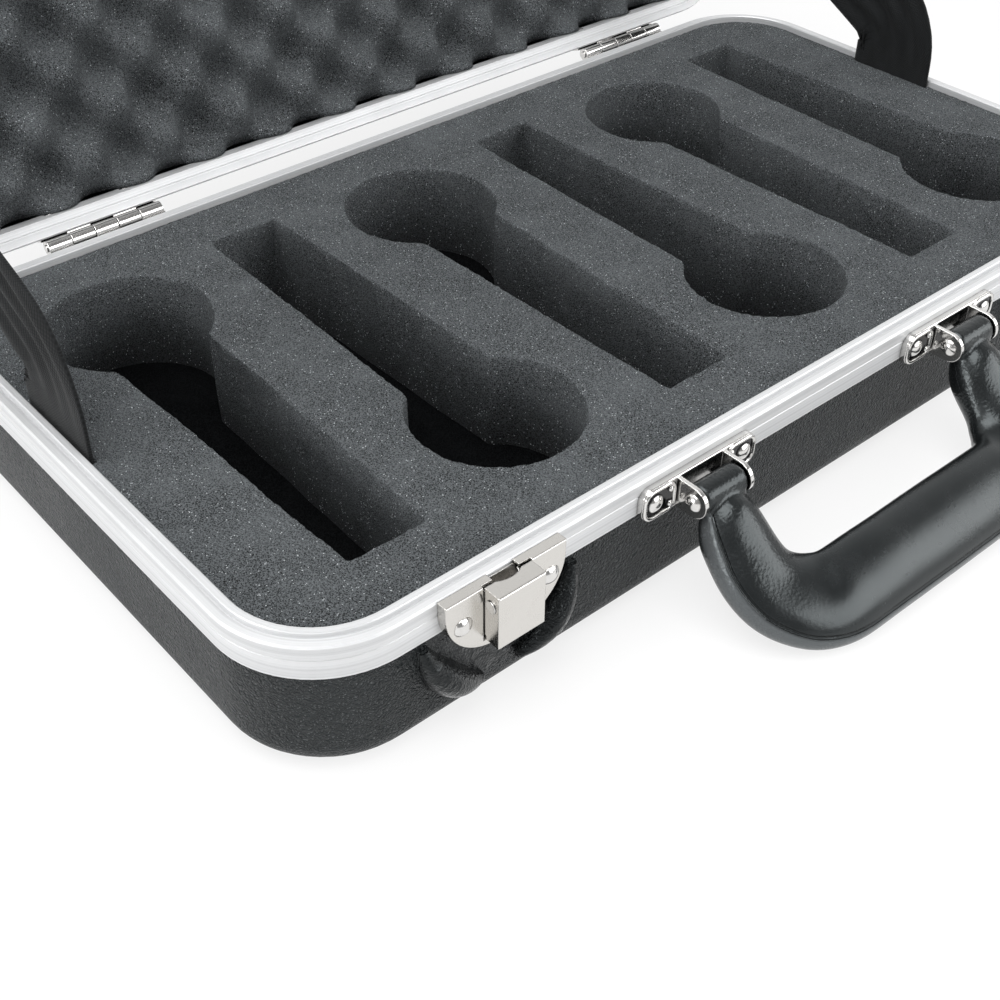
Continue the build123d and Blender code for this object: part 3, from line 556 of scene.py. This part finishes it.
def makeLidFoam():
    face, back = lidFoam["face"], lidFoam["back"]
    bm = nodeMesh("lid_foam", toClosed)
    keepFaces(bm, lambda f: f.normal.z < -0.99 and f.calc_center_median().z < face + 1e-4)
    divide(bm, [e for e in bm.edges if e.is_boundary], lidFoam["grid"])
    made = bmesh.ops.extrude_face_region(bm, geom=bm.faces[:])["geom"]
    far = [g for g in made if isinstance(g, bmesh.types.BMVert)]
    bmesh.ops.translate(bm, vec=(0, 0, back - face), verts=far)
    bmesh.ops.recalc_face_normals(bm, faces=bm.faces)
    rim = [e for e in bm.edges
           if all(v.co.z > back - 1e-5 for v in e.verts) and e.calc_face_angle(0) > 0.5]
    bmesh.ops.bevel(bm, geom=rim, offset=lidFoam["edge"], segments=3, profile=0.5,
                    affect="EDGES", material=-1)
    front = [f for f in bm.faces if f.normal.z < -0.9]
    lines = steps(-0.1997, 0.1997, lidFoam["grid"])
    for axis, places in ((0, lines), (1, steps(-0.1057, 0.1057, lidFoam["grid"]))):
        normal = Vector((1, 0, 0)) if axis == 0 else Vector((0, 1, 0))
        for place in places:
            front = [f for f in bm.faces if f.normal.z < -0.9]
            geom = set(front)
            for f in front:
                geom.update(f.edges)
                geom.update(f.verts)
            bmesh.ops.bisect_plane(bm, geom=list(geom), plane_co=normal * place, plane_no=normal)
    turn = 2 * math.pi / lidFoam["pitch"]
    for vert in bm.verts:
        if vert.co.z < face + 1e-5:
            wave = math.cos(turn * vert.co.x) * math.cos(turn * vert.co.y)
            wave = math.copysign(abs(wave) ** 0.85, wave)
            ragged = 0.0004 * noise.noise(vert.co * 300)
            vert.co.z += lidFoam["depth"] * (0.5 - 0.5 * wave) + ragged + 0.0004
    bm.transform(toOpen)
    for f in bm.faces:
        f.smooth = True
    piece = finishPiece(bm, "lidFoam", "foam", "lid")
    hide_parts("lid_foam")
    return piece


makeSlottedFoam()
makeFloorFoam()
makeLidFoam()
print("stage: foam made")


# ---- cloth stays: folded lengthwise, from the base's edging to the lid's
stayShape = {
    "x": 0.1989,
    "route": ((0.0175, 0.035), (0.0175, 0.071), (0.14902, 0.14114), (0.16124, 0.13669)),
    "bends": (0.022, 0.0195),
    "width": 0.038,
    "thickness": 0.0010,
    "folds": 4,
    "foldDepth": 0.0017,
    "flatEnd": 0.016,
    "lengthStep": 0.0022,
    "acrossSteps": 32,
}


def roundedRoute(points, radii, step):
    points = [Vector(p) for p in points]
    found = [points[0]]
    for before, corner, after, radius in zip(points, points[1:], points[2:], radii):
        back, on = (before - corner).normalized(), (after - corner).normalized()
        half = back.angle(on) / 2
        centre = corner + (back + on).normalized() * radius / math.sin(half)
        start = corner + back * radius / math.tan(half)
        end = corner + on * radius / math.tan(half)
        found.append(start)
        count = 8
        for i in range(1, count):
            mid = start.lerp(end, i / count) - centre
            found.append(centre + mid.normalized() * radius)
        found.append(end)
    found.append(points[-1])
    lengths = [0.0]
    for a, b in zip(found, found[1:]):
        lengths.append(lengths[-1] + (b - a).length)
    count = round(lengths[-1] / step)
    spots = []
    for i in range(count + 1):
        at = lengths[-1] * i / count
        k = max(j for j in range(len(lengths) - 1) if lengths[j] <= at + 1e-12)
        share = (at - lengths[k]) / (lengths[k + 1] - lengths[k])
        along = (found[k + 1] - found[k]).normalized()
        spots.append((found[k].lerp(found[k + 1], share), along))
    return spots, lengths[-1]


def makeStay(hand, side):
    spots, length = roundedRoute(stayShape["route"], stayShape["bends"], stayShape["lengthStep"])
    bm = bmesh.new()
    bmesh.ops.create_grid(
        bm, x_segments=stayShape["acrossSteps"], y_segments=len(spots) - 1, size=0.5
    )
    uv = bm.loops.layers.uv.new("cloth")
    for face in bm.faces:
        for loop in face.loops:
            spot = loop.vert.co
            loop[uv].uv = (spot.x * stayShape["width"], (spot.y + 0.5) * length)
    for vert in bm.verts:
        across, share = vert.co.x, vert.co.y + 0.5
        place, along = spots[round(share * (len(spots) - 1))]
        fromEnd = min(share, 1 - share) * length
        swell = min(1.0, max(0.0, (fromEnd - stayShape["flatEnd"]) / 0.03))
        swell = swell * swell * (3 - 2 * swell)
        drift = 0.35 * noise.noise(Vector((share * 2.2, across * 1.5, side)))
        fold = math.sin(2 * math.pi * (stayShape["folds"] * across + drift))
        depth = stayShape["foldDepth"] * swell * (0.5 + 0.5 * fold)
        depth += 0.0006 * swell * noise.noise(Vector((across * 5, share * 9, side * 3)))
        sideways = across * stayShape["width"] * (1 - 0.05 * swell)
        flat = Vector((-along.y, along.x)) * sideways
        vert.co = Vector((side * (stayShape["x"] - max(0.0, depth)), place.x + flat.x, place.y + flat.y))
    bmesh.ops.recalc_face_normals(bm, faces=bm.faces)
    bmesh.ops.solidify(bm, geom=bm.faces[:], thickness=stayShape["thickness"])
    bmesh.ops.recalc_face_normals(bm, faces=bm.faces)
    for face in bm.faces:
        face.smooth = True
    piece = finishPiece(bm, "clothStay" + hand, "cloth", None)
    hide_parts("lid_stay_" + hand.lower())
    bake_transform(piece)
    return piece


makeStay("Left", -1)
makeStay("Right", 1)
print("stage: stays made")


# ---- the grip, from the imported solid: skinned again, then a lip and attributes for its finish
def gripSize(distance):
    rows = gripShape["sections"]
    distance *= 1000
    for low, high in zip(rows, rows[1:]):
        if distance <= high[0]:
            share = max(0.0, (distance - low[0]) / (high[0] - low[0]))
            return [(a + share * (b - a)) / 1000 for a, b in zip(low[1:], high[1:])]
    return [v / 1000 for v in rows[-1][1:]]


def gripPlace(spot):
    # distance along the centre line from the nearer end, and angle round the section
    droop, pin = gripShape["droop"], gripShape["pin"]
    spread, bend = gripShape["spread"], gripShape["bend"]
    local = spot - pin
    out = -local.y * math.cos(droop) - local.z * math.sin(droop)
    up = -local.y * math.sin(droop) + local.z * math.cos(droop)
    side = abs(local.x)
    turnX, turnY = spread - bend, gripShape["reach"] - bend
    if side > turnX and out > turnY:
        angle = math.atan2(out - turnY, side - turnX)
        lateral = math.hypot(out - turnY, side - turnX) - bend
        distance = turnY + gripShape["start"] + bend * angle
    elif side > turnX * 0.75 and out <= turnY:
        lateral, distance = side - spread, out + gripShape["start"]
    else:
        lateral = out - gripShape["reach"]
        distance = turnY + gripShape["start"] + bend * math.pi / 2 + turnX - side
    halfWidth, halfThick, sag = gripSize(distance)
    around = math.degrees(math.atan2((up + sag) / halfThick, lateral / halfWidth))
    return max(0.0, distance), around


def smooth(value, low, high):
    share = min(1.0, max(0.0, (value - low) / (high - low)))
    return share * share * (3 - 2 * share)


def makeGripPiece():
    bm = nodeMesh("handle_grip")
    mesh = bpy.data.meshes.new("gripSkin")
    bm.to_mesh(mesh)
    bm.free()
    skin = bpy.data.objects.new("gripSkin", mesh)
    bpy.context.scene.collection.objects.link(skin)
    remesh = skin.modifiers.new("skin", "REMESH")
    remesh.mode = "VOXEL"
    remesh.voxel_size = gripShape["voxel"]
    graph = bpy.context.evaluated_depsgraph_get()
    fresh = bpy.data.meshes.new_from_object(skin.evaluated_get(graph))
    bpy.data.objects.remove(skin)
    bm = bmesh.new()
    bm.from_mesh(fresh)
    for turn in range(4):
        bmesh.ops.smooth_vert(bm, verts=bm.verts, factor=0.5, use_axis_x=True, use_axis_y=True,
                              use_axis_z=True)
    bm.normal_update()
    along = bm.verts.layers.float.new("along")
    around = bm.verts.layers.float.new("around")
    moves = []
    for vert in bm.verts:
        distance, angle = gripPlace(vert.co)
        vert[along], vert[around] = distance, angle
        begun = smooth(distance, 0.008, 0.016)
        lip = smooth(angle, gripShape["groove"] + 2, gripShape["groove"] - 6)
        lip = lip if angle <= gripShape["groove"] + 2 else 0.0
        lip *= smooth(angle, -50, -25) * begun
        dent = 0.00012 * noise.noise(vert.co * 60) * begun
        moves.append(vert.normal * (gripShape["lip"] * lip + dent))
    for vert, move in zip(bm.verts, moves):
        vert.co += move
        vert.co.z = max(vert.co.z, 0.0001)
    for face in bm.faces:
        face.smooth = True
    piece = finishPiece(bm, "grip", "grip", "handle")
    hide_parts("handle_grip")
    return piece


makeGripPiece()
print("stage: grip made")


# ---- raised borders pressed round each end of the handle's brackets, and the ears' locating dimples
bracketTrim = {
    "spread": 0.0615,
    "front": -0.1147,
    "height": 0.0406,
    "ends": (0.0112, 0.0232),
    "halfHeight": 0.0049,
    "corner": 0.0032,
    "wire": 0.00075,
    "dimple": (0.0129, 0.0034, 0.0011),
}


def makeBracketTrim():
    middle = sum(bracketTrim["ends"]) / 2
    halfLength = (bracketTrim["ends"][1] - bracketTrim["ends"][0]) / 2
    joined = bmesh.new()
    for x in (-bracketTrim["spread"], bracketTrim["spread"]):
        for side in (-1, 1):
            bm = bmesh.new()
            bmesh.ops.create_grid(bm, x_segments=1, y_segments=1, size=1)
            bmesh.ops.scale(bm, vec=(halfLength, bracketTrim["halfHeight"], 1), verts=bm.verts)
            bmesh.ops.bevel(bm, geom=bm.verts[:], offset=bracketTrim["corner"], segments=7,
                            profile=0.5, affect="VERTICES", material=-1)
            bm.faces.ensure_lookup_table()
            outline = [v.co.copy() for v in bm.faces[0].verts]
            bm.free()
            curve = bpy.data.curves.new("border", "CURVE")
            curve.dimensions = "3D"
            curve.bevel_depth = bracketTrim["wire"]
            curve.bevel_resolution = 3
            spline = curve.splines.new("POLY")
            spline.points.add(len(outline) - 1)
            for point, spot in zip(spline.points, outline):
                point.co = (x + side * middle + spot.x, bracketTrim["front"],
                            bracketTrim["height"] + spot.y, 1)
            spline.use_cyclic_u = True
            holder = bpy.data.objects.new("border", curve)
            mesh = bpy.data.meshes.new_from_object(holder)
            joined.from_mesh(mesh)
            bpy.data.objects.remove(holder)
            offset, drop, size = bracketTrim["dimple"]
            for up in (-1, 1):
                spot = Matrix.Translation((x + side * offset, bracketTrim["front"],
                                           bracketTrim["height"] + up * drop * 0.8))
                bmesh.ops.create_uvsphere(joined, u_segments=14, v_segments=8, radius=size,
                                          matrix=spot)
    bmesh.ops.recalc_face_normals(joined, faces=joined.faces)
    for face in joined.faces:
        face.smooth = True
    finishPiece(joined, "bracketBorders", "bright", "base")


makeBracketTrim()
print("stage: bracket borders made")


# ---- floor, light and camera
stageSettings = {
    "floor": 4.0,
    "floorColour": (0.86, 0.86, 0.86, 1),
    "worldLight": 0.36,
    "zenith": 0.4,
    "front": 0.32,
    "mirrored": 1.0,
}


def makeFloor():
    bm = bmesh.new()
    bmesh.ops.create_grid(bm, x_segments=4, y_segments=4, size=stageSettings["floor"])
    mesh = bpy.data.meshes.new("floor")
    bm.to_mesh(mesh)
    bm.free()
    floor = bpy.data.objects.new("floor", mesh)
    bpy.context.scene.collection.objects.link(floor)
    material, tree, shader, place = startMaterial("paleFloor", {"Roughness": 0.85})
    shader.inputs["Base Color"].default_value = stageSettings["floorColour"]
    path = makeNode(tree, "ShaderNodeLightPath").outputs
    seen = calc(tree, "MAXIMUM", path["Is Camera Ray"], path["Is Glossy Ray"])
    seen = calc(tree, "MAXIMUM", seen, path["Is Transmission Ray"])
    level = fade(tree, path["Is Glossy Ray"], 0.0, 1.0, 1.0, stageSettings["mirrored"])
    glow = makeNode(tree, "ShaderNodeEmission", {"Color": (1, 1, 1, 1), "Strength": level})
    away = makeNode(tree, "ShaderNodeVectorMath", {0: place}, operation="LENGTH").outputs["Value"]
    evened = fade(tree, away, 0.45, 1.1, 0.8, 1.0)
    mixed = makeNode(
        tree, "ShaderNodeMixShader",
        {0: calc(tree, "MULTIPLY", seen, evened), 1: shader.outputs[0], 2: glow.outputs[0]},
    )
    tree.links.new(mixed.outputs[0], tree.nodes["Material Output"].inputs["Surface"])
    mesh.materials.append(material)


def makeWorld():
    world = bpy.data.worlds.new("studio")
    bpy.context.scene.world = world
    world.use_nodes = True
    tree = world.node_tree
    path = makeNode(tree, "ShaderNodeLightPath").outputs
    seen = calc(tree, "MAXIMUM", path["Is Camera Ray"], path["Is Glossy Ray"])
    seen = calc(tree, "MAXIMUM", seen, path["Is Transmission Ray"])
    sideways, backwards, height = split(
        tree, makeNode(tree, "ShaderNodeTexCoord").outputs["Generated"]
    )
    dome = fade(tree, height, 0.58, 0.95, 1.0, stageSettings["zenith"])
    dome = calc(tree, "MULTIPLY", dome, fade(tree, seen, 0.0, 1.0, stageSettings["worldLight"], 1.0))
    dome = calc(tree, "MULTIPLY", dome, fade(tree, backwards, -0.6, 0.3, stageSettings["front"], 1.0))
    strength = calc(tree, "MAXIMUM", dome, path["Is Camera Ray"])
    background = tree.nodes["Background"]
    background.inputs["Color"].default_value = (1, 1, 1, 1)
    tree.links.new(strength, background.inputs["Strength"])


def makeLamp(name, spot, target, size, power):
    data = bpy.data.lights.new(name, "AREA")
    data.shape = "RECTANGLE"
    data.size, data.size_y = size
    data.energy = power
    lamp = bpy.data.objects.new(name, data)
    bpy.context.scene.collection.objects.link(lamp)
    lamp.location = spot
    lamp.rotation_euler = (Vector(target) - Vector(spot)).to_track_quat("-Z", "Y").to_euler()


cameraPlace = {
    "spot": (-0.31990, -0.32252, 0.30869),
    "pitch": 40.39,
    "yaw": -40.99,
    "roll": 0.42,
    "lens": 51.352,
    "shift": -0.0017,
}


def makeCamera():
    data = bpy.data.cameras.new("camera")
    data.lens = cameraPlace["lens"]
    data.sensor_width = 36
    data.shift_x = cameraPlace["shift"]
    data.clip_start = 0.01
    camera = bpy.data.objects.new("camera", data)
    bpy.context.scene.collection.objects.link(camera)
    pitch, yaw, roll = (math.radians(cameraPlace[k]) for k in ("pitch", "yaw", "roll"))
    turn = Matrix.Rotation(yaw, 4, "Z") @ Matrix.Rotation(math.pi / 2 - pitch, 4, "X")
    turn = turn @ Matrix.Rotation(roll, 4, "Z")
    camera.matrix_world = Matrix.Translation(cameraPlace["spot"]) @ turn
    bpy.context.scene.camera = camera


makeFloor()
makeWorld()
makeLamp("key", (-0.42, -0.05, 1.55), (0, 0, 0.03), (1.7, 1.3), 33)
makeLamp("side", (-1.60, 0.10, 0.42), (0, 0, 0.03), (0.9, 0.5), 12)
makeLamp("fill", (0.75, -1.25, 0.60), (0, 0, 0.03), (1.7, 0.85), 18)
makeCamera()
bpy.context.scene.view_settings.view_transform = "Standard"
print("stage: studio made")
